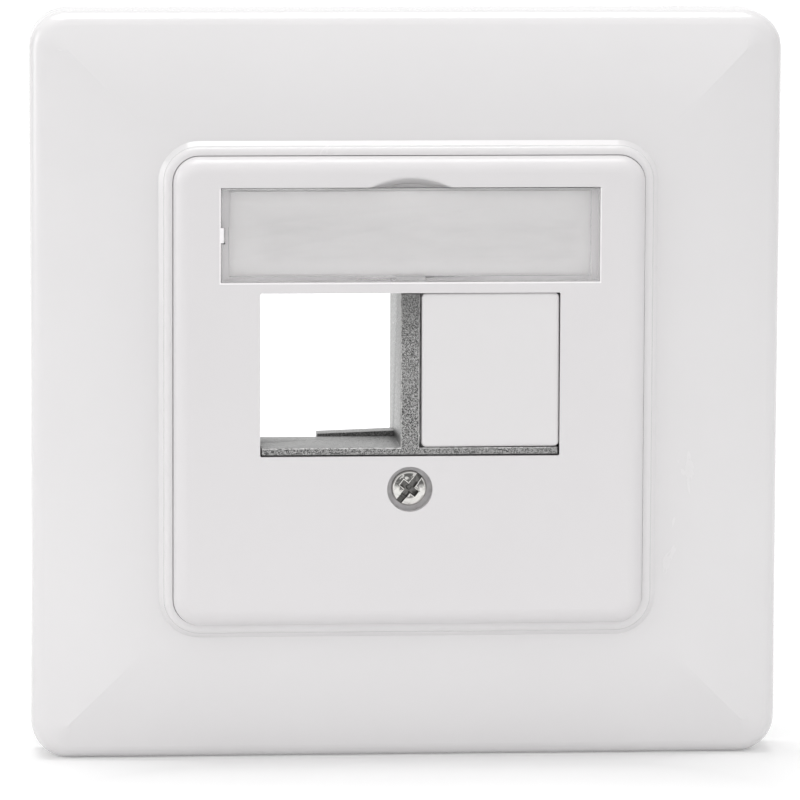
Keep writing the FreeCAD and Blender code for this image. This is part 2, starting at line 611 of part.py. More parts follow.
def build_support_bracket():
    """Zinc casting: ring plate with fixing slots, two-port keystone bay and screw boss."""
    body = new_body("support_bracket")
    ring = new_sketch(body, "ring")
    draw_rectangle(ring, ("0", "0"), RING, RING, "ring_corner")
    pad(body, ring, f"ring_thick + rim_rise")
    tub = new_sketch(body, "tub", level="ring_thick + rim_rise")
    tub_size = f"({RING} - 2 * ring_rim)"
    draw_rectangle(tub, ("0", "0"), tub_size, tub_size, "(ring_corner - ring_rim)")
    pocket(body, tub, "rim_rise")

    webs = new_sketch(body, "webs", level="ring_thick / 2")
    web_length = f"({RING} - ring_rim)"
    for side in ("-", ""):
        draw_rectangle(webs, (f"{side}web_place", "0"), "web_thick", web_length)
    pad(body, webs, "ring_thick / 2 + web_rise")
    walls = new_sketch(body, "bay", level="-bay_back")
    draw_rectangle(walls, ("0", f"({BAY_FLOOR} + {BAY_ROOF}) / 2"), f"(2 * {BAY_SIDE})",
                   f"({BAY_ROOF} - {BAY_FLOOR})", "bay_wall / 2")
    pad(body, walls, "bay_top + bay_back")

    boss = new_sketch(body, "boss")
    draw_circle(boss, ("0", "screw_level"), BOSS_RADIUS)
    pad(body, boss, f"{BOSS_LEVEL} - boss_gap")

    nose = new_sketch(body, "nose", level="bay_top / 2")
    draw_outline(nose, [
        (f"-{NOSE_SIDE}", f"{PORT_FLOOR} - nose_floor"),
        (NOSE_SIDE, f"{PORT_FLOOR} - nose_floor"),
        (NOSE_SIDE, PORT_FLOOR),
        ("divider / 2", PORT_FLOOR),
        ("divider / 2", f"{PORT_ROOF} - 2 * nose_slit"),
        ("-divider / 2", f"{PORT_ROOF} - 2 * nose_slit"),
        ("-divider / 2", PORT_FLOOR),
        (f"-{NOSE_SIDE}", PORT_FLOOR),
    ])
    pad(body, nose, f"{NOSE_LEVEL} - bay_top / 2")

    ports = new_sketch(body, "ports", level="bay_top")
    chambers = new_sketch(body, "chambers", level=CATCH_LEVEL)
    roof, floor = f"({PORT_ROOF} + catch_roof)", f"({PORT_FLOOR} - catch_drop)"
    for side in ("-", ""):
        middle = f"{side}{BLANK_SIDE}"
        draw_rectangle(ports, (middle, "port_level"), "port_width", "port_tall")
        draw_rectangle(chambers, (middle, f"({roof} + {floor}) / 2"), "port_width", f"({roof} - {floor})")
    pocket(body, ports, "bay_top + bay_back")
    pocket(body, chambers, f"{CATCH_LEVEL} + bay_back")

    tongues = new_sketch(body, "tongues")
    for inner in ("-divider / 2", PORT_SIDE):
        outer = f"({inner} - tongue_width)"
        draw_outline(tongues, [
            (outer, floor),
            (inner, floor),
            (inner, f"{PORT_FLOOR} + tongue_rise"),
            (outer, f"{PORT_FLOOR} + tongue_rise - tongue_slope"),
        ])
    pad(body, tongues, "ring_thick")

    slot = new_sketch(body, "slot", level="ring_thick")
    draw_rectangle(slot, ("fixing_pitch / 2", "0"), "fixing_length", "fixing_width", "(fixing_width / 2.001)")
    repeat_round(body, [pocket(body, slot, "ring_thick")], 4, "slots")

    thread = new_sketch(body, "thread", level=f"{BOSS_LEVEL} - boss_gap")
    draw_circle(thread, ("0", "screw_level"), "(shank_size / 2 + shank_gap)")
    pocket(body, thread, f"{BOSS_LEVEL} - boss_gap")
    round_edges(body, "nose_edges", "nose_edge", lambda edge: in_level(edge, value(NOSE_LEVEL)))
    return body


def build_blank_insert():
    """Moulded blank that closes the unused port and rests on the catch tongue."""
    body = new_body("blank_insert")
    block = new_sketch(body, "face", level=f"{BLANK_LEVEL} - blank_face")
    draw_rectangle(block, ("0", "0"), "blank_width", "blank_tall", "blank_corner")
    pad(body, block, "blank_face")
    round_edges(body, "edge", "blank_round", lambda edge: in_level(edge, value(BLANK_LEVEL)))
    skirt = new_sketch(body, "skirt", level="ring_thick")
    skirt_width, skirt_tall = "(blank_width - 2 * blank_step)", "(blank_tall - 2 * blank_step)"
    draw_rectangle(skirt, ("0", "0"), skirt_width, skirt_tall, "blank_corner")
    pad(body, skirt, f"{BLANK_LEVEL} - blank_face - ring_thick")
    hollow = new_sketch(body, "hollow", level=f"{BLANK_LEVEL} - blank_face")
    draw_rectangle(hollow, ("0", "0"), f"({skirt_width} - 2 * blank_wall)", f"({skirt_tall} - 2 * blank_wall)")
    pocket(body, hollow, f"{BLANK_LEVEL} - blank_face - ring_thick")
    body.Placement.Rotation = FreeCAD.Rotation(FreeCAD.Vector(0, 1, 0), -1)
    body.setExpression("Placement.Base.x", formula(f"{BLANK_SIDE} + blank_shift"))
    body.setExpression("Placement.Base.z", formula("port_level - blank_drop"))
    body.setExpression("Placement.Rotation.Angle", formula("-blank_turn * 1 deg"))
    return body


pieces = [
    build_cover_frame(),
    build_centre_plate(),
    build_label_window(),
    build_label_strip(),
    build_centre_screw(),
    build_support_bracket(),
    build_blank_insert(),
]
doc.recompute()

for item in doc.Objects:
    if "Invalid" in item.State or "Error" in item.State:
        raise RuntimeError(f"{item.Name} failed: {item.State}")
for piece in pieces:
    if piece.Shape.isNull() or not piece.Shape.isValid() or len(piece.Shape.Solids) != 1:
        raise RuntimeError(f"{piece.Label} isn't one valid solid")

os.makedirs("parts", exist_ok=True)
for piece in pieces:
    piece.Shape.exportStep(f"parts/{piece.Label}.step")
    print(f"{piece.Label}: {piece.Shape.Volume:.1f} mm3, {len(piece.Shape.Faces)} faces")
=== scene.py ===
from math import cos, pi, radians, sin

import bmesh
import bpy
from mathutils import Matrix, Vector


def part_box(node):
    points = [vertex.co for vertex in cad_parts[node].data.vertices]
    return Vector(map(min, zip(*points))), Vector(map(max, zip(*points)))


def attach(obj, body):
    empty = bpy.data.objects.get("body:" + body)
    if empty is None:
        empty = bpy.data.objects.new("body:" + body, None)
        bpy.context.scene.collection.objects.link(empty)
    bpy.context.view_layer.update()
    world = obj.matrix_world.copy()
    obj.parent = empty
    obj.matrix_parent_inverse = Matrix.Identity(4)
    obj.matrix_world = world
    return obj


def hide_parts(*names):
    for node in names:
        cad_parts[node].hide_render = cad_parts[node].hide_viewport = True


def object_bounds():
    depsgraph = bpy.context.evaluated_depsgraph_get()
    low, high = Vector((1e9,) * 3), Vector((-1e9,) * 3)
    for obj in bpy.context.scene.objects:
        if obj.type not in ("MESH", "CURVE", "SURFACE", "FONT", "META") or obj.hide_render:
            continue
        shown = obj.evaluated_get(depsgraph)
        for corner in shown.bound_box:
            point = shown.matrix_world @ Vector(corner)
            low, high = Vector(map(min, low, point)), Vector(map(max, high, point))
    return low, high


MM = 0.001
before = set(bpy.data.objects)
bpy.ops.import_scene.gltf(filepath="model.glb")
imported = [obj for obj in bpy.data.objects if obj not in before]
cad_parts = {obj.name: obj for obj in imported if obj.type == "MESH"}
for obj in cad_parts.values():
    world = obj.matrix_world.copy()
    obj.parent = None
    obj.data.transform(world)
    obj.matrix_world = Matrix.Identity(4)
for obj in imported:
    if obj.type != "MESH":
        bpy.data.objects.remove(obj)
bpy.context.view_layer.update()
scene = bpy.context.scene
scene.view_settings.view_transform = "Standard"

# ---- Camera -----------------------------------------------------------------------------------
# A long lens, slightly left of the faceplate and above it, so that the left port is seen through
# and its floor and the divider show their depth.
VIEW_SIDE = radians(4.39)
VIEW_RISE = radians(7.47)
VIEW_DISTANCE = 700 * MM
VIEW_TARGET = Vector((-0.11, 0, -2.42)) * MM
VIEW_ROLL = radians(0.24)
VIEW_LENS = 292.3
VIEW_NEAREST = 10 * MM
camera_data = bpy.data.cameras.new("camera")
camera_data.lens = VIEW_LENS
camera_data.clip_start = VIEW_NEAREST
camera = bpy.data.objects.new("camera", camera_data)
scene.collection.objects.link(camera)
scene.camera = camera
away = Vector((-sin(VIEW_SIDE) * cos(VIEW_RISE), -cos(VIEW_SIDE) * cos(VIEW_RISE), sin(VIEW_RISE)))
turn = (-away).to_track_quat("-Z", "Y").to_matrix().to_4x4() @ Matrix.Rotation(VIEW_ROLL, 4, "Z")
camera.matrix_world = Matrix.Translation(VIEW_TARGET + away * VIEW_DISTANCE) @ turn

# ---- Support bracket --------------------------------------------------------------------------
# Zinc die-casting behind the plate, screwed to the flush box. Its bare skin keeps the fine sand of
# the die, whose grains are painted dark and light, as grain tone and as painted glints. The
# trimmed edges of the ports are rubbed and carry a painted highlight, and painted shade darkens
# the skin set back from the front, high up and in the corners.
ZINC = (0.222, 0.221, 0.219)
ZINC_EDGE = 0.12 * MM
ZINC_ROUGHNESS = (0.24, 0.42)
TRIMMED = 0.2 * MM
ROUND_STEPS = 2
CORNER = radians(35)
SMOOTH = radians(30)
FLAT = radians(0.2)
WELD = 0.0005 * MM
FRONTAL = 0.98

# Cells to the metre of each noise, and the depth of the sand's relief.
SAND_CELLS = 11000
RUB_CELLS = 2600
POLISH_CELLS = 3000
CLOUD_CELLS = 260
PATCH_CELLS = 1800
SAND_RELIEF = 0.06 * MM

# Lightness of each effect, as a share of the bare zinc's.
SAND_GLINT_DARK, SAND_GLINT_LIGHT = 0.15, 1.9
CLOUD_LIGHT = 1.1
RUBBED_HIGHLIGHT_LIGHT = 3
SHADED_LIGHT = 0.2
TOP_LIT_LIGHT = 1.5
DEEP_LIGHT = 0.25
TIGHT_LIGHT = 0.3

# Where painted shade darkens the skin, with how much: further back, higher up, in deep and in
# tight corners.
BEHIND, BEHIND_SHADE = (-11 * MM, -8 * MM), 0.6
HIGH_UP, HIGH_UP_SHADE = (4 * MM, 10 * MM), 0.4
DEEP_REACH, DEEP_SHADE = 6 * MM, 0.45
TIGHT_REACH, TIGHT_SHADE = 1.2 * MM, 0.5

# Faces that look up are painted lighter, as lit from above, from this rise of their normal and by
# up to this share.
LEVEL_FROM, LEVEL_SHARE = 0.6, 0.5

# Spans of a noise, a normal or a corner's openness over which each mask runs from end to end.
SAND_SPAN = (0.42, 0.58)
RUB_SPAN = (0.4, 0.55)
PULL_SPAN = (0.3, 0.8)
UP_SPAN = (-0.5, 0.5)
HOLLOW_SPAN = (0.35, 0.9)

# The least or the most that a mask gives: sand on drawn walls, the rubbing and its painted
# highlight on edges that face down, rubbing between its patches, clouds, and dust and painted
# shade between its patches.
DRAWN_SAND = 0.25
DOWN_RUB_HIGHLIGHT = 0.15
LEAST_RUB = 0.3
MOST_CLOUD = 0.3
LEAST_DARKENING = 0.7

# Strength of the relief on skin without sand and on the roughest skin.
RELIEF_STRENGTH = (0.15, 0.8)


def to_mesh(form, name):
    """The mesh of a form, which is then let go."""
    mesh = bpy.data.meshes.new(name)
    form.to_mesh(mesh)
    form.free()
    return mesh


def soften(node, name, edge, reach=None):
    """A copy of a CAD node with its corners rounded, all or those within reach of its front.

    The rounds count as worn and highlit edge, and so do the sides next to the front.
    """
    form = bmesh.new()
    form.from_mesh(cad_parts[node].data)
    bmesh.ops.remove_doubles(form, verts=form.verts, dist=WELD)
    bmesh.ops.dissolve_limit(form, angle_limit=FLAT, verts=form.verts, edges=form.edges)
    edge_layer = form.faces.layers.float.new("worn_and_highlit_edge")
    front = min(vert.co.y for vert in form.verts)
    corners = [e for e in form.edges if e.is_manifold and e.calc_face_angle() > CORNER
               and (reach is None or max(vert.co.y for vert in e.verts) < front + reach)]
    rounds = bmesh.ops.bevel(
        form, geom=corners, offset=edge, offset_type="OFFSET", affect="EDGES",
        segments=ROUND_STEPS, profile=0.5, material=-1, clamp_overlap=True)
    for face in rounds["faces"]:
        face[edge_layer] = 1
    for face in form.faces:
        if face.calc_center_median().y < front + TRIMMED and abs(face.normal.y) < FRONTAL:
            face[edge_layer] = 1
    return to_mesh(form, name)


def link(name, mesh, material):
    """A finished piece in the scene, shaded smooth up to an angle."""
    mesh.shade_smooth()
    mesh.set_sharp_from_angle(angle=SMOOTH)
    mesh.materials.clear()
    mesh.materials.append(material)
    piece = bpy.data.objects.new(name, mesh)
    scene.collection.objects.link(piece)
    return piece


def finish(name, colour, roughness=0.5, metallic=0.0):
    """A material whose even values sit on the shader itself."""
    material = bpy.data.materials.new(name)
    material.use_nodes = True
    shader = material.node_tree.nodes["Principled BSDF"]
    shader.inputs["Base Color"].default_value = (*colour, 1)
    shader.inputs["Roughness"].default_value = roughness
    shader.inputs["Metallic"].default_value = metallic
    return material, material.node_tree, shader


def noise(tree, cells, detail=3.0, roughness=0.5, distortion=0.0, squash=(1, 1, 1)):
    """Noise on the piece's own coordinates, in cells to the metre."""
    place = tree.nodes.new("ShaderNodeTexCoord")
    mapping = tree.nodes.new("ShaderNodeMapping")
    mapping.inputs["Scale"].default_value = squash
    texture = tree.nodes.new("ShaderNodeTexNoise")
    for socket, number in (("Scale", cells), ("Detail", detail),
                           ("Roughness", roughness), ("Distortion", distortion)):
        texture.inputs[socket].default_value = number
    tree.links.new(place.outputs["Object"], mapping.inputs["Vector"])
    tree.links.new(mapping.outputs["Vector"], texture.inputs["Vector"])
    return texture.outputs["Fac"]


def spread(tree, source, low, high, start=0.3, end=0.7):
    """Stretch a mask from start..end to low..high."""
    node = tree.nodes.new("ShaderNodeMapRange")
    for socket, number in (("From Min", start), ("From Max", end),
                           ("To Min", low), ("To Max", high)):
        node.inputs[socket].default_value = number
    tree.links.new(source, node.inputs["Value"])
    return node.outputs["Result"]


def blend_colour(tree, mask, first, second):
    """Two colours mixed by a mask."""
    node = tree.nodes.new("ShaderNodeMix")
    node.data_type = "RGBA"
    for socket, item in ((0, mask), (6, first), (7, second)):
        if isinstance(item, tuple):
            node.inputs[socket].default_value = (*item, 1)
        else:
            tree.links.new(item, node.inputs[socket])
    return node.outputs[2]


def reckon(tree, operation, *items):
    """One operation on masks or numbers."""
    node = tree.nodes.new("ShaderNodeMath")
    node.operation = operation
    for socket, item in enumerate(items):
        if isinstance(item, (int, float)):
            node.inputs[socket].default_value = item
        else:
            tree.links.new(item, node.inputs[socket])
    return node.outputs[0]


def bump(tree, shader, height, distance, strength=1.0):
    """Relief of a given height on the shader's normal."""
    node = tree.nodes.new("ShaderNodeBump")
    node.inputs["Strength"].default_value = strength
    node.inputs["Distance"].default_value = distance
    tree.links.new(height, node.inputs["Height"])
    tree.links.new(node.outputs["Normal"], shader.inputs["Normal"])
    return node


def shade(colour, factor):
    """A colour made lighter or darker."""
    return tuple(channel * factor for channel in colour)


def coordinate(tree, kind, axis):
    """One coordinate of the surface's place (Object) or of its normal (Normal)."""
    place = tree.nodes.new("ShaderNodeTexCoord")
    parts = tree.nodes.new("ShaderNodeSeparateXYZ")
    tree.links.new(place.outputs[kind], parts.inputs[0])
    return parts.outputs[axis]


def attribute(tree, name):
    """A mask that the mesh carries."""
    node = tree.nodes.new("ShaderNodeAttribute")
    node.attribute_name = name
    return node.outputs["Fac"]


def build_hollow_dust_and_shade():
    """Group for dust and oil in hollows and for painted shade there, where less light reaches."""
    group = bpy.data.node_groups.new("hollow_dust_and_shade", "ShaderNodeTree")
    for name, default in (("Reach", MM), ("Amount", 1.0)):
        socket = group.interface.new_socket(name, in_out="INPUT", socket_type="NodeSocketFloat")
        socket.default_value = default
    group.interface.new_socket("Darkening", in_out="OUTPUT", socket_type="NodeSocketFloat")
    entry = group.nodes.new("NodeGroupInput")
    leave = group.nodes.new("NodeGroupOutput")
    corners = group.nodes.new("ShaderNodeAmbientOcclusion")
    corners.only_local = True
    group.links.new(entry.outputs["Reach"], corners.inputs["Distance"])
    depth = spread(group, corners.outputs["AO"], 1, 0, *HOLLOW_SPAN)
    patchy = spread(group, noise(group, PATCH_CELLS), LEAST_DARKENING, 1)
    darkening = reckon(group, "MULTIPLY", reckon(group, "MULTIPLY", depth, patchy),
                      entry.outputs["Amount"])
    group.links.new(darkening, leave.inputs["Darkening"])
    return group


def darken_hollows(tree, reach, amount):
    """Place the group for dust, oil and painted shade in hollows in a material."""
    node = tree.nodes.new("ShaderNodeGroup")
    node.node_tree = hollow_dust_and_shade
    node.inputs["Reach"].default_value = reach
    node.inputs["Amount"].default_value = amount
    return node.outputs["Darkening"]


hollow_dust_and_shade = build_hollow_dust_and_shade()
zinc, tree, shader = finish("zinc_casting", ZINC, metallic=1.0)

# The sand is coarse on faces across the die's pull, and faint on walls drawn along it.
sand = noise(tree, SAND_CELLS, detail=1.5, roughness=0.6)
across_pull = reckon(tree, "ABSOLUTE", coordinate(tree, "Normal", "Y"))
rough_skin = spread(tree, across_pull, DRAWN_SAND, 1, *PULL_SPAN)
grain = reckon(tree, "MULTIPLY", spread(tree, sand, -1, 1, *SAND_SPAN), rough_skin)
# The grains are painted dark and light: grain tone, and painted glints.
sand_tone_and_glints = blend_colour(tree, spread(tree, grain, 0, 1, -1, 1),
                     shade(ZINC, SAND_GLINT_DARK), shade(ZINC, SAND_GLINT_LIGHT))
clouds = spread(tree, noise(tree, CLOUD_CELLS, detail=4), 0, MOST_CLOUD)
cloudy = blend_colour(tree, clouds, sand_tone_and_glints, shade(ZINC, CLOUD_LIGHT))

# Worn edges are painted bright in patches, as rubbing and as painted highlight, most where they
# face up to the light.
faces_up = spread(tree, coordinate(tree, "Normal", "Z"), DOWN_RUB_HIGHLIGHT, 1, *UP_SPAN)
rub_marks = spread(tree, noise(tree, RUB_CELLS, detail=2), LEAST_RUB, 1, *RUB_SPAN)
rubbed_and_highlit = reckon(tree, "MULTIPLY", attribute(tree, "worn_and_highlit_edge"),
                reckon(tree, "MULTIPLY", faces_up, rub_marks))
edged = blend_colour(tree, rubbed_and_highlit, cloudy, shade(ZINC, RUBBED_HIGHLIGHT_LIGHT))

# Painted shade: rough skin darkens away from the front and towards the top. Faces that look up are
# painted lighter, as lit from above.
behind = spread(tree, coordinate(tree, "Object", "Y"), 0, BEHIND_SHADE, *BEHIND)
high_up = spread(tree, coordinate(tree, "Object", "Z"), 0, HIGH_UP_SHADE, *HIGH_UP)
shaded = reckon(tree, "MAXIMUM", reckon(tree, "MULTIPLY", rough_skin, behind),
                reckon(tree, "MULTIPLY", rough_skin, high_up))
darker = blend_colour(tree, shaded, edged, shade(ZINC, SHADED_LIGHT))
level = spread(tree, coordinate(tree, "Normal", "Z"), 0, LEVEL_SHARE, LEVEL_FROM, 1)
lighter = blend_colour(tree, level, darker, shade(ZINC, TOP_LIT_LIGHT))
# Dust and painted shade darken deep places and tight corners.
deep_shaded = blend_colour(tree, darken_hollows(tree, DEEP_REACH, DEEP_SHADE), lighter, shade(ZINC, DEEP_LIGHT))
corner_shaded = blend_colour(tree, darken_hollows(tree, TIGHT_REACH, TIGHT_SHADE), deep_shaded, shade(ZINC, TIGHT_LIGHT))
tree.links.new(corner_shaded, shader.inputs["Base Color"])
tree.links.new(spread(tree, noise(tree, POLISH_CELLS, detail=2), *ZINC_ROUGHNESS),
               shader.inputs["Roughness"])
relief = bump(tree, shader, sand, SAND_RELIEF)
tree.links.new(spread(tree, rough_skin, *RELIEF_STRENGTH, 0, 1), relief.inputs["Strength"])

casting = link("bracket_casting", soften("support_bracket", "bracket_casting", ZINC_EDGE), zinc)
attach(casting, "housing")
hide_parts("support_bracket")

# ---- Cover frame ------------------------------------------------------------------------------
# White cover frame, injection moulded in one piece from glossy plastic. The four sides meet in
# soft mitres, and the polish shows a faint orange peel and a few wiping marks.
FRAME_WHITE = (0.756, 0.743, 0.749)
FRAME_POLISH = 0.2
FRAME_COAT = 0.7
FRAME_DUST_AND_SHADE = 0.1
FRAME_GRAIN = 700

# What all the mouldings share: cells to the metre, relief, wiping marks, mottle, dust with painted
# shade in hollows, and painted light under the window.
MOTTLE_CELLS = 55
WIPE_CELLS = 150
WIPE_SPAN = (0.45, 0.75)
SKIN_RELIEF = 0.0012 * MM
WIPE_ROUGHNESS = 0.09
MOTTLE = 0.008
HOLLOW_DARK_REACH = 2 * MM
HOLLOW_DARK_LIGHT = 0.4
COVERED_PAINTED_LIGHT = 1.3


def dress(node, material):
    """Give a CAD node its finished material."""
    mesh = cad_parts[node].data
    mesh.materials.clear()
    mesh.materials.append(material)


def build_moulded_skin():
    """Group for moulded plastic: slow mottle, wiping marks and a fine relief."""
    group = bpy.data.node_groups.new("moulded_skin", "ShaderNodeTree")
    socket = group.interface.new_socket("Grain", in_out="INPUT", socket_type="NodeSocketFloat")
    socket.default_value = FRAME_GRAIN
    for name in ("Mottle", "Wipes", "Relief"):
        group.interface.new_socket(name, in_out="OUTPUT", socket_type="NodeSocketFloat")
    entry = group.nodes.new("NodeGroupInput")
    leave = group.nodes.new("NodeGroupOutput")
    mottle = spread(group, noise(group, MOTTLE_CELLS, detail=2), 0, 1)
    group.links.new(mottle, leave.inputs["Mottle"])
    streaks = noise(group, WIPE_CELLS, detail=6, roughness=0.62, distortion=0.8,
                    squash=(1, 1, 0.35))
    group.links.new(spread(group, streaks, 0, 1, *WIPE_SPAN), leave.inputs["Wipes"])
    place = group.nodes.new("ShaderNodeTexCoord")
    grain = group.nodes.new("ShaderNodeTexNoise")
    grain.inputs["Detail"].default_value = 1.5
    group.links.new(place.outputs["Object"], grain.inputs["Vector"])
    group.links.new(entry.outputs["Grain"], grain.inputs["Scale"])
    group.links.new(grain.outputs["Fac"], leave.inputs["Relief"])
    return group


moulded_skin = build_moulded_skin()


def outside(tree, axis, low, high):
    """1 beyond a span of the piece's own coordinates, and 0 within it."""
    from_middle = reckon(tree, "SUBTRACT", coordinate(tree, "Object", axis), (low + high) / 2)
    return reckon(tree, "GREATER_THAN", reckon(tree, "ABSOLUTE", from_middle), (high - low) / 2)


def mould(name, colour, roughness, grain, coat=0.3, dust_and_shade=0.5, covered=None):
    """Moulded plastic in one colour, with dust and painted shade in its hollows.

    The two spans of a covered place keep it free of dust and painted shade, and paint it lighter
    than the rest, as painted light that offsets the shade there.
    """
    material, tree, shader = finish(name, colour)
    skin = tree.nodes.new("ShaderNodeGroup")
    skin.node_tree = moulded_skin
    skin.inputs["Grain"].default_value = grain
    mottled = blend_colour(tree, skin.outputs["Mottle"],
                           shade(colour, 1 - MOTTLE), shade(colour, 1 + MOTTLE))
    # Dust and painted shade in the hollows.
    darkening = darken_hollows(tree, HOLLOW_DARK_REACH, dust_and_shade)
    if covered:
        bare = reckon(tree, "MAXIMUM", *[outside(tree, *span) for span in covered])
        darkening = reckon(tree, "MULTIPLY", darkening, bare)
        # Painted light: the covered place is painted lighter, which offsets the shade in the tray.
        mottled = blend_colour(tree, bare, shade(colour, COVERED_PAINTED_LIGHT), mottled)
    dusty_and_shaded = blend_colour(tree, darkening, mottled, shade(colour, HOLLOW_DARK_LIGHT))
    tree.links.new(dusty_and_shaded, shader.inputs["Base Color"])
    wiped = spread(tree, skin.outputs["Wipes"], roughness, roughness + WIPE_ROUGHNESS, 0, 1)
    tree.links.new(wiped, shader.inputs["Roughness"])
    bump(tree, shader, skin.outputs["Relief"], SKIN_RELIEF)
    shader.inputs["Coat Weight"].default_value = coat
    shader.inputs["Coat Roughness"].default_value = roughness / 2
    return material


frame_white = mould("frame_plastic", FRAME_WHITE, FRAME_POLISH, FRAME_GRAIN,
                    coat=FRAME_COAT, dust_and_shade=FRAME_DUST_AND_SHADE)
dress("cover_frame", frame_white)

# ---- Centre plate -----------------------------------------------------------------------------
# White centre plate, moulded with its label tray, finger scoop, port opening and screw seat. Its
# face has a finer, more satin polish than the frame. Dust and painted shade darken its hollows,
# but not under the window, where its colour is painted lighter to offset the shade in the tray.
PLATE_WHITE = (0.738, 0.721, 0.729)
PLATE_POLISH = 0.32
PLATE_DUST_AND_SHADE = 0.9
SATIN_GRAIN = 2600
TRAY_MARGIN = 0.2 * MM
window_low, window_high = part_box("label_window")
tray = (("X", window_low.x - TRAY_MARGIN, window_high.x + TRAY_MARGIN),
        ("Z", window_low.z - TRAY_MARGIN, window_high.z))
plate_white = mould("plate_plastic", PLATE_WHITE, PLATE_POLISH, SATIN_GRAIN,
                    dust_and_shade=PLATE_DUST_AND_SHADE, covered=tray)
dress("centre_plate", plate_white)

# ---- Label strip ------------------------------------------------------------------------------
# Blank strip of uncoated paper, cut to the tray. Its fibres lie along it, and its colour is
# painted lighter towards its margins, painted light that offsets the shade of the tray's walls
# round the window's rim.
PAPER = (0.85, 0.834, 0.836)
PAPER_ROUGHNESS = 0.88
PAPER_RELIEF = 0.004 * MM
FIBRE_CELLS = 900
FIBRE_SHADES = (0.97, 1.03)
MARGIN_PAINTED_LIGHT = 1.17
TOP_MARGIN, LOW_MARGIN = 4.5 * MM, 2.5 * MM
LEFT_MARGIN, RIGHT_MARGIN = 6 * MM, 3 * MM
paper, tree, shader = finish("label_paper", PAPER, PAPER_ROUGHNESS)
fibres = noise(tree, FIBRE_CELLS, detail=5, roughness=0.65, squash=(0.25, 1, 1))
fibrous = blend_colour(tree, spread(tree, fibres, 0, 1),
                       *[shade(PAPER, factor) for factor in FIBRE_SHADES])
# Painted light: the margins are painted lighter to offset the shade of the tray's walls.
lit_margin = 0
for axis, border, inside in (("Z", window_high.z, window_high.z - TOP_MARGIN),
                             ("Z", window_low.z, window_low.z + LOW_MARGIN),
                             ("X", window_low.x, window_low.x + LEFT_MARGIN),
                             ("X", window_high.x, window_high.x - RIGHT_MARGIN)):
    near = spread(tree, coordinate(tree, "Object", axis), 1, 0, border, inside)
    lit_margin = reckon(tree, "MAXIMUM", near, lit_margin)
tree.links.new(blend_colour(tree, lit_margin, fibrous, shade(PAPER, MARGIN_PAINTED_LIGHT)),
               shader.inputs["Base Color"])
bump(tree, shader, fibres, PAPER_RELIEF)
dress("label_strip", paper)

# ---- Label window -----------------------------------------------------------------------------
# Clear cap moulded in polycarbonate with a rim all round, which clips into the tray. The edges of
# its face are worn dull, and light comes straight through it to the paper.
CAP_EDGE = 0.07 * MM
CAP_FRONT = 0.01 * MM
CLEAR_ROUGHNESS = 0.04
WORN_ROUGHNESS = 0.5
POLYCARBONATE_IOR = 1.58
RIPPLE_CELLS = 420
RIPPLE_RELIEF = 0.002 * MM
clear, tree, shader = finish("clear_plastic", (1, 1, 1))
worn_dull = spread(tree, attribute(tree, "worn_and_highlit_edge"), CLEAR_ROUGHNESS, WORN_ROUGHNESS, 0, 1)
tree.links.new(worn_dull, shader.inputs["Roughness"])
shader.inputs["Transmission Weight"].default_value = 1
shader.inputs["IOR"].default_value = POLYCARBONATE_IOR
bump(tree, shader, noise(tree, RIPPLE_CELLS, detail=2), RIPPLE_RELIEF)
light = tree.nodes.new("ShaderNodeLightPath")
through = tree.nodes.new("ShaderNodeBsdfTransparent")
both = tree.nodes.new("ShaderNodeMixShader")
tree.links.new(light.outputs["Is Shadow Ray"], both.inputs[0])
tree.links.new(shader.outputs[0], both.inputs[1])
tree.links.new(through.outputs[0], both.inputs[2])
tree.links.new(both.outputs[0], tree.nodes["Material Output"].inputs["Surface"])
cap = link("clear_cap", soften("label_window", "clear_cap", CAP_EDGE, reach=CAP_FRONT), clear)
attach(cap, "window")
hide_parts("label_window")

# ---- Centre screw -----------------------------------------------------------------------------
# Nickel-plated steel screw, cold headed with a slot and a cross recess and with a rolled thread.
# It draws the plate on to the bracket, and its head fills its seat. Its face is darker in spots
# round the recess, and a painted dark reflection lies in patches on its upper half.
STEEL = (0.62, 0.61, 0.59)
STEEL_ROUGHNESS = (0.08, 0.26)
HIGHLIGHT_METALLIC = 0.3

# Shapes cut into the head: width and depth of the slot, and length, width and depth of the cross.
SLOT_WIDTH, SLOT_DEPTH = 0.66 * MM, 0.65 * MM
SLOT_LENGTH = 8 * MM
SLOT_TURN = radians(52)
CROSS_LENGTH, CROSS_WIDTH, CROSS_DEPTH = 2.2 * MM, 0.8 * MM, 1.15 * MM
CROSS_NARROWING = 0.18 * MM
CUTTER_RISE = 0.5 * MM

# The pit in the middle: shares of its radius, with depths below the head's face in millimetres.
PIT = ((0, -0.3), (1, -0.3), (1, 0.55), (0.5, 1.25), (0, 1.35))
PIT_RADIUS = 0.5 * MM
PIT_STEPS = 24

# The head is domed: shares of its radius, with shares of the dome's fall.
DOME = ((0.3, 0.09), (0.5, 0.25), (0.7, 0.49), (0.85, 0.72), (0.98, 0.96))
DOME_FALL = 0.25 * MM
HEAD_HEIGHT = 1.45 * MM
HEAD_RIM = 0.09 * MM
HEAD_CHAMFER = 0.1 * MM
HEAD_STEPS = 64
SCREW_EDGE = 0.08 * MM
SCREW_CORNER = radians(40)
FACE_MARGIN = 0.02 * MM
CUT_WELD = 0.002 * MM
CUT_FLAT = radians(0.5)
SPIN_WELD = 0.001 * MM

# One turn of the thread's ridge: shares of its depth, with shares of its pitch.
RIDGE = ((1, 0), (0, 0.4), (0, 0.6), (1, 1))
THREAD_PITCH = 0.5 * MM
THREAD_DEPTH = 0.22 * MM
THREAD_SHARE = 0.7
THREAD_STEPS = 32
THREAD_END = 0.6 * MM
CORE_SHARE = 1.02
CORE_OVERLAP = 0.2 * MM
POINT_LENGTH = 0.4 * MM
POINT_SHARE = 0.6

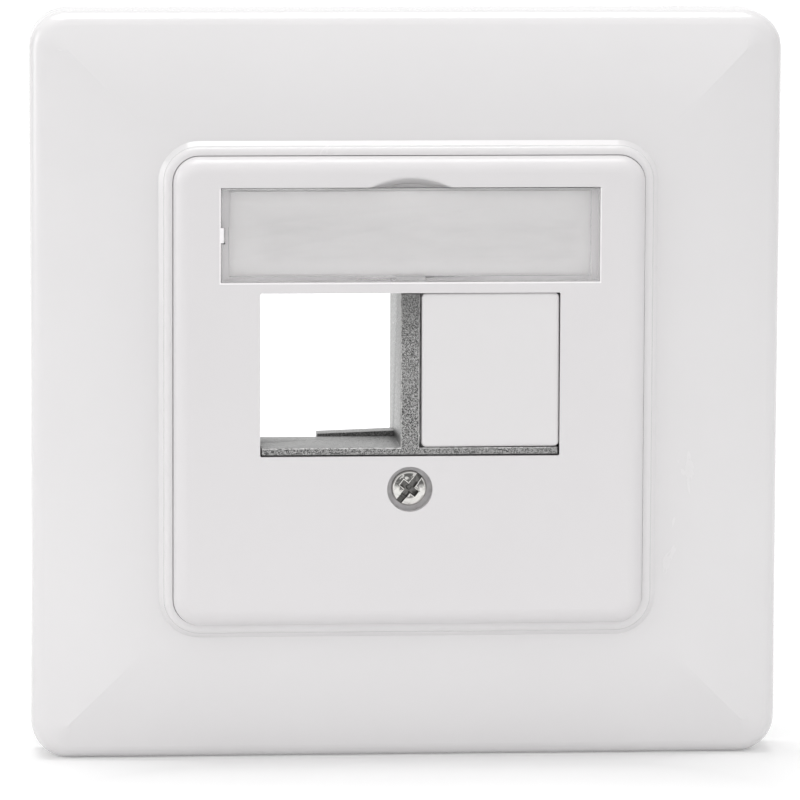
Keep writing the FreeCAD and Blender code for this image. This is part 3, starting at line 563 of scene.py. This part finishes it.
# Cells to the metre of each noise, and lightness as a share of the bare steel's.
SCRATCH_CELLS = 4200
STRUCK_CELLS = 1700
SPOT_CELLS = 1500
HOLLOW_LIGHT = 0.12
REFLECTION_DARK_LIGHT = 0.2
HIGHLIGHT_LIGHT = 1.55
HOLLOW_REACH, HOLLOW_SHADE = 0.9 * MM, 0.8
SCRATCH_SHARE = 0.2
DENT_RELIEF, DENT_STRENGTH = 0.12 * MM, 0.7

# Spans of the finish: depth of the painted shade in the recess, height of the painted dark
# reflection above the axis, and radii at which its ring begins and ends and the darker spots round
# the middle end.
SUNK = (0.42 * MM, 0.62 * MM)
REFLECTION_RISE = 0.5 * MM
RING_START, RING_END = (0.9 * MM, 1.05 * MM), (1.58 * MM, 1.66 * MM)
MIDDLE_DARK_END = (0.95 * MM, 1.15 * MM)

# Spans of the spots over which the painted dark reflection and the darker middle begin, and the
# least of the darker middle.
REFLECTION_SPAN = (0.39, 0.47)
MIDDLE_DARK_SPAN = (0.38, 0.48)
LEAST_MIDDLE_DARK = 0.3

screw_low, screw_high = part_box("centre_screw")
screw_axis = (screw_low + screw_high) / 2
head_radius = (screw_high.x - screw_low.x) / 2
head_face = screw_low.y
head_foot = head_face + HEAD_HEIGHT


def turned(form, profile, middle, steps=HEAD_STEPS):
    """Spin a profile of radius and level about the screw's axis."""
    points = [form.verts.new((middle.x + radius, level, middle.z)) for radius, level in profile]
    lines = [form.edges.new(pair) for pair in zip(points, points[1:])]
    bmesh.ops.spin(form, geom=points + lines, cent=(middle.x, 0, middle.z), axis=(0, 1, 0),
                   angle=2 * pi, steps=steps, use_merge=True)
    bmesh.ops.remove_doubles(form, verts=form.verts, dist=SPIN_WELD)
    bmesh.ops.recalc_face_normals(form, faces=form.faces)


def tapered_bar(name, length, width, depth, narrowing, turn):
    """A bar that narrows as it goes into the head's face, turned about the screw's axis."""
    form = bmesh.new()
    bar = bmesh.ops.create_cube(form, size=1)["verts"]
    for corner in bar:
        inside = corner.co.y > 0
        shrink = narrowing if inside else 0
        corner.co.x *= length - 2 * shrink
        corner.co.z *= width - shrink
        corner.co.y = depth if inside else -CUTTER_RISE
    bmesh.ops.rotate(form, verts=bar, cent=(0, 0, 0), matrix=Matrix.Rotation(-turn, 3, "Y"))
    bmesh.ops.translate(form, verts=bar, vec=(screw_axis.x, head_face, screw_axis.z))
    return to_mesh(form, name)


def carve(target, cutter):
    """The target mesh with the cutter's form taken out. Both are then let go."""
    solids = [bpy.data.objects.new(mesh.name, mesh) for mesh in (target, cutter)]
    for solid in solids:
        scene.collection.objects.link(solid)
    cut = solids[0].modifiers.new("cut", "BOOLEAN")
    cut.object = solids[1]
    cut.operation = "DIFFERENCE"
    cut.solver = "EXACT"
    depsgraph = bpy.context.evaluated_depsgraph_get()
    carved = bpy.data.meshes.new_from_object(solids[0].evaluated_get(depsgraph))
    for solid in solids:
        bpy.data.objects.remove(solid)
    for mesh in (target, cutter):
        bpy.data.meshes.remove(mesh)
    return carved


head = bmesh.new()
domed = [(head_radius * share, head_face + DOME_FALL * fall) for share, fall in DOME]
turned(head, [
    (0, head_face), *domed, (head_radius, head_face + DOME_FALL),
    (head_radius + HEAD_RIM, head_face + DOME_FALL + HEAD_RIM),
    (head_radius + HEAD_RIM, head_foot - HEAD_CHAMFER),
    (head_radius, head_foot), (0, head_foot),
], screw_axis)
carved = carve(to_mesh(head, "head"),
               tapered_bar("slot", SLOT_LENGTH, SLOT_WIDTH, SLOT_DEPTH, 0, SLOT_TURN))
for quarter in (0, pi / 2):
    carved = carve(carved, tapered_bar("cross", CROSS_LENGTH, CROSS_WIDTH, CROSS_DEPTH,
                                       CROSS_NARROWING, SLOT_TURN + quarter))
pit = bmesh.new()
turned(pit, [(PIT_RADIUS * share, head_face + depth * MM) for share, depth in PIT],
       screw_axis, PIT_STEPS)
carved = carve(carved, to_mesh(pit, "pit"))

# The outline of the head and of its recess is rounded, and its rounds carry a painted highlight.
screw = bmesh.new()
screw.from_mesh(carved)
bmesh.ops.remove_doubles(screw, verts=screw.verts, dist=CUT_WELD)
bmesh.ops.dissolve_limit(screw, angle_limit=CUT_FLAT, verts=screw.verts, edges=screw.edges)
dome_end = head_face + DOME_FALL + FACE_MARGIN
rims = [e for e in screw.edges if e.is_manifold and e.calc_face_angle() > SCREW_CORNER
        and max(vert.co.y for vert in e.verts) < dome_end]
edge_layer = screw.faces.layers.float.new("worn_and_highlit_edge")
rounds = bmesh.ops.bevel(
    screw, geom=rims, offset=SCREW_EDGE, offset_type="OFFSET", affect="EDGES",
    segments=ROUND_STEPS, profile=0.5, material=-1, clamp_overlap=False)
for face in rounds["faces"]:
    face[edge_layer] = 1

# The thread runs from the head's foot to its last whole turn, round a core with a blunt point.
thread_radius = head_radius * THREAD_SHARE
core_radius = thread_radius - THREAD_DEPTH * CORE_SHARE
turns = int((screw_high.y - head_foot - THREAD_END) / THREAD_PITCH)
ridge = [screw.verts.new((screw_axis.x + (thread_radius - THREAD_DEPTH * depth),
                          head_foot + THREAD_PITCH * level, screw_axis.z))
         for depth, level in RIDGE]
flanks = [screw.edges.new(pair) for pair in zip(ridge, ridge[1:])]
bmesh.ops.spin(screw, geom=ridge + flanks, cent=(screw_axis.x, 0, screw_axis.z), axis=(0, 1, 0),
               dvec=(0, THREAD_PITCH / THREAD_STEPS, 0), angle=2 * pi * turns,
               steps=THREAD_STEPS * turns)
core = bmesh.new()
turned(core, [
    (core_radius, head_foot - CORE_OVERLAP), (core_radius, screw_high.y - POINT_LENGTH),
    (thread_radius * POINT_SHARE, screw_high.y), (0, screw_high.y),
], screw_axis, THREAD_STEPS)
screw.from_mesh(to_mesh(core, "core"))
bmesh.ops.remove_doubles(screw, verts=screw.verts, dist=SPIN_WELD)
screw_mesh = to_mesh(screw, "seat_screw")

steel, tree, shader = finish("plated_steel", STEEL, metallic=1.0)
scratches = noise(tree, SCRATCH_CELLS, detail=3, roughness=0.6, distortion=0.5)
struck = noise(tree, STRUCK_CELLS, detail=1)
# Painted shade: the recess and the hollows of the head are painted dark.
sunk = spread(tree, coordinate(tree, "Object", "Y"), 0, 1,
              *[head_face + depth for depth in SUNK])
recess_shade = reckon(tree, "MAXIMUM", darken_hollows(tree, HOLLOW_REACH, HOLLOW_SHADE), sunk)
recess_shaded = blend_colour(tree, recess_shade, STEEL, shade(STEEL, HOLLOW_LIGHT))

# Distance of the surface from the screw's axis.
place = tree.nodes.new("ShaderNodeTexCoord")
offset = tree.nodes.new("ShaderNodeVectorMath")
offset.operation = "SUBTRACT"
offset.inputs[1].default_value = (screw_axis.x, 0, screw_axis.z)
across = tree.nodes.new("ShaderNodeVectorMath")
across.operation = "MULTIPLY"
across.inputs[1].default_value = (1, 0, 1)
length = tree.nodes.new("ShaderNodeVectorMath")
length.operation = "LENGTH"
tree.links.new(place.outputs["Object"], offset.inputs[0])
tree.links.new(offset.outputs[0], across.inputs[0])
tree.links.new(across.outputs[0], length.inputs[0])
radius = length.outputs["Value"]

# A painted dark reflection lies in patches round the recess, above the axis, and the middle is
# darker in spots.
ring = reckon(tree, "MULTIPLY", spread(tree, radius, 0, 1, *RING_START),
              spread(tree, radius, 1, 0, *RING_END))
spots = noise(tree, SPOT_CELLS, detail=2, distortion=1)
above = spread(tree, coordinate(tree, "Object", "Z"), 0, 1,
               screw_axis.z, screw_axis.z + REFLECTION_RISE)
reflection_patches = reckon(tree, "MULTIPLY", spread(tree, spots, 0, 1, *REFLECTION_SPAN), above)
middle_dark = reckon(tree, "MULTIPLY", spread(tree, radius, 1, 0, *MIDDLE_DARK_END),
                spread(tree, spots, LEAST_MIDDLE_DARK, 1, *MIDDLE_DARK_SPAN))
painted_dark = reckon(tree, "MAXIMUM", reckon(tree, "MULTIPLY", ring, reflection_patches), middle_dark)
dark_reflected = blend_colour(tree, painted_dark, recess_shaded, shade(STEEL, REFLECTION_DARK_LIGHT))
# Painted highlight: the rounds of the outline are painted lighter and less metallic.
edged = blend_colour(tree, attribute(tree, "worn_and_highlit_edge"), dark_reflected, shade(STEEL, HIGHLIGHT_LIGHT))
tree.links.new(edged, shader.inputs["Base Color"])
tree.links.new(spread(tree, attribute(tree, "worn_and_highlit_edge"), 1, HIGHLIGHT_METALLIC, 0, 1),
               shader.inputs["Metallic"])
tree.links.new(spread(tree, scratches, *STEEL_ROUGHNESS), shader.inputs["Roughness"])
dents = reckon(tree, "ADD", reckon(tree, "MULTIPLY", scratches, SCRATCH_SHARE), struck)
bump(tree, shader, dents, DENT_RELIEF, DENT_STRENGTH)
screw_piece = link("seat_screw", screw_mesh, steel)
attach(screw_piece, "screw")
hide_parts("centre_screw")

# ---- Blank insert -----------------------------------------------------------------------------
# White blank pushed into the right port, where the catch holds it. It is moulded in the plate's
# plastic.
BLANK_WHITE = (0.748, 0.734, 0.739)
BLANK_POLISH = 0.3
blank_white = mould("blank_plastic", BLANK_WHITE, BLANK_POLISH, SATIN_GRAIN)
dress("blank_insert", blank_white)

# ---- Table, backdrop and lights ---------------------------------------------------------------
# White table that the faceplate stands on, under a broad soft light from above and behind, with a
# white room round it. The table glows a little where it is seen, by the camera or in metal and
# glass. The glow is less in front of the faceplate and more right at its foot, which paints the
# shape of the contact shadow there.
TABLE_WHITE = (0.88, 0.88, 0.88)
TABLE_ROUGHNESS = 0.9
TABLE_REACH = 4

# Places in millimetres, each with the strength of the glow there, which paints the contact
# shadow's shape.
GLOW_IN_FRONT = ((-100, 0.5), (-50, 0.27), (0, 0.28), (5, 0.25), (6.5, 0.2), (7.5, 0.04),
                 (13, 0), (15.6, 0.04), (18.5, 0.075), (27, 0.12), (100, 0.5))
GLOW_BESIDE = ((20, 0), (25, 0), (41, 0.16), (200, 0.5))

# Strength of the room's light from the front and from the back, and where it changes over.
ROOM_FRONT, ROOM_BACK = 1.07, 0.05
ROOM_CHANGE = 0.1

# Each soft box: its name, place, width and height, and power in watts.
LAMPS = (
    ("top_box", (-0.05, 0.12, 0.7), (0.5, 0.5), 2.75),
    ("left_box", (-0.6, -0.25, 0.1), (0.25, 0.5), 0.1),
    ("left_side", (-0.65, 0.02, 0.1), (0.25, 0.5), 0.75),
)


def seen_directly(tree):
    """1 for the rays of the camera, of metal and of glass, and 0 for the rays that light."""
    seen = tree.nodes.new("ShaderNodeLightPath")
    rays = reckon(tree, "MAXIMUM", seen.outputs["Is Camera Ray"], seen.outputs["Is Glossy Ray"])
    return reckon(tree, "MAXIMUM", rays, seen.outputs["Is Transmission Ray"])


def levels(tree, source, stops):
    """A level that follows stops along a coordinate, each stop a place and the level there."""
    near, far = stops[0][0], stops[-1][0]
    node = tree.nodes.new("ShaderNodeValToRGB")
    line = node.color_ramp.elements
    for number, (place, level) in enumerate(stops):
        if 0 < number < len(stops) - 1:
            stop = line.new((place - near) / (far - near))
        else:
            stop = line[0 if number == 0 else -1]
        stop.color = (level, level, level, 1)
    tree.links.new(spread(tree, source, 0, 1, near, far), node.inputs[0])
    return node.outputs[0]


def add_lamp(name, place, size, power):
    """A soft box at a place, pointed at the middle of the faceplate."""
    lamp_data = bpy.data.lights.new(name, "AREA")
    lamp_data.shape = "RECTANGLE"
    lamp_data.size, lamp_data.size_y = size
    lamp_data.energy = power
    lamp = bpy.data.objects.new(name, lamp_data)
    scene.collection.objects.link(lamp)
    facing = (-Vector(place)).to_track_quat("-Z", "Y").to_matrix().to_4x4()
    lamp.matrix_world = Matrix.Translation(place) @ facing


table_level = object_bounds()[0][2]
bed = bmesh.new()
bmesh.ops.create_grid(bed, x_segments=1, y_segments=1, size=TABLE_REACH)
bmesh.ops.translate(bed, verts=bed.verts, vec=(0, 0, table_level))
table_white, tree, shader = finish("table_white", TABLE_WHITE, TABLE_ROUGHNESS)
table = link("table", to_mesh(bed, "table"), table_white)

in_front = reckon(tree, "MULTIPLY", coordinate(tree, "Object", "Y"), -1 / MM)
beside = reckon(tree, "MULTIPLY", reckon(tree, "ABSOLUTE", coordinate(tree, "Object", "X")),
                1 / MM)
shadow_glow = reckon(tree, "MAXIMUM", levels(tree, in_front, GLOW_IN_FRONT),
               levels(tree, beside, GLOW_BESIDE))
glow = tree.nodes.new("ShaderNodeEmission")
tree.links.new(reckon(tree, "MULTIPLY", seen_directly(tree), shadow_glow), glow.inputs["Strength"])
both = tree.nodes.new("ShaderNodeAddShader")
tree.links.new(shader.outputs[0], both.inputs[0])
tree.links.new(glow.outputs[0], both.inputs[1])
tree.links.new(both.outputs[0], tree.nodes["Material Output"].inputs["Surface"])

world = bpy.data.worlds.new("studio")
scene.world = world
world.use_nodes = True
room = world.node_tree
background = room.nodes["Background"]
background.inputs["Color"].default_value = (1, 1, 1, 1)
direction = room.nodes.new("ShaderNodeTexCoord")
parts = room.nodes.new("ShaderNodeSeparateXYZ")
room.links.new(direction.outputs["Generated"], parts.inputs[0])
room_light = spread(room, parts.outputs["Y"], ROOM_FRONT, ROOM_BACK, -ROOM_CHANGE, ROOM_CHANGE)
strength = room.nodes.new("ShaderNodeMix")
strength.inputs["B"].default_value = 1
room.links.new(seen_directly(room), strength.inputs["Factor"])
room.links.new(room_light, strength.inputs["A"])
room.links.new(strength.outputs["Result"], background.inputs["Strength"])

for lamp in LAMPS:
    add_lamp(*lamp)
